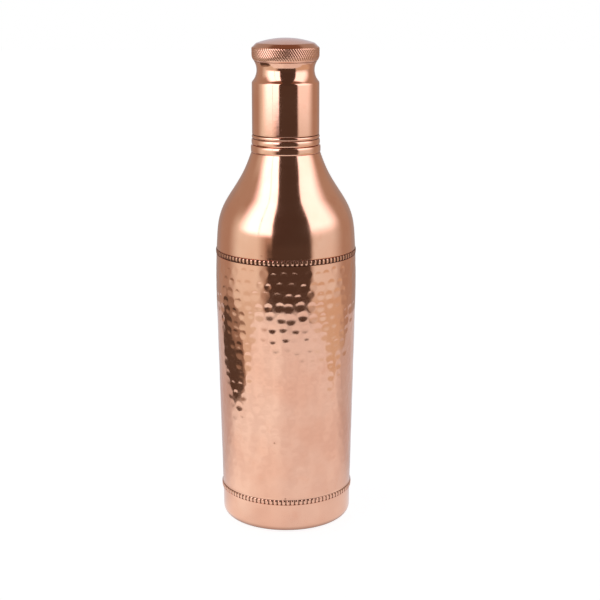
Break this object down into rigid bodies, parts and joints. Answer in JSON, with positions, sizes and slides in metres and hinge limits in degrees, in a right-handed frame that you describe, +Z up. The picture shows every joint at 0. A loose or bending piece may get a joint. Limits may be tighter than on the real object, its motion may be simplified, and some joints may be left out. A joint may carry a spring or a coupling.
{
  "type": "copper water bottle",
  "caption": "Tall copper water bottle with a hammered tapered barrel between beaded rings, a smooth shoulder, a ringed collar and a long waisted screw cap with a knurled knob.",
  "frame": {"origin": "centre of the base, on the surface that the bottle stands on", "axes": "+Z up along the bottle's axis; X and Y are any two directions across it"},
  "size_m": [0.0838, 0.0838, 0.2904],
  "materials": {
    "polished_copper": "polished copper",
    "hammered_copper": "hammered and polished copper",
    "beaded_copper": "beaded copper, darkened between the beads",
    "silicone": "matt translucent white silicone"
  },
  "bodies": {
    "bottle": {"base_cup": "polished_copper", "lower_bead_ring": "beaded_copper", "body_barrel": "hammered_copper", "upper_bead_ring": "beaded_copper", "shoulder_shell": "polished_copper", "neck_collar": "polished_copper", "threaded_neck": "polished_copper"},
    "seal": {"cap_seal": "silicone"},
    "cap": {"cap_thread_cup": "polished_copper", "cap_sleeve": "polished_copper", "cap_knob": "polished_copper"}
  },
  "joints": [
    {"name": "cap_lift", "type": "slide", "parent": "bottle", "child": "seal", "axis": [0, 0, 1], "range_m": [0, 0.0315]},
    {"name": "cap_turn", "type": "hinge", "parent": "seal", "child": "cap", "pos_m": [0, 0, 0.25], "axis": [0, 0, 1], "range_deg": [0, 3240]}
  ],
  "couplings": [
    {"joint": "cap_lift", "follows": "cap_turn", "m_per_rad": 0.00055704}
  ]
}
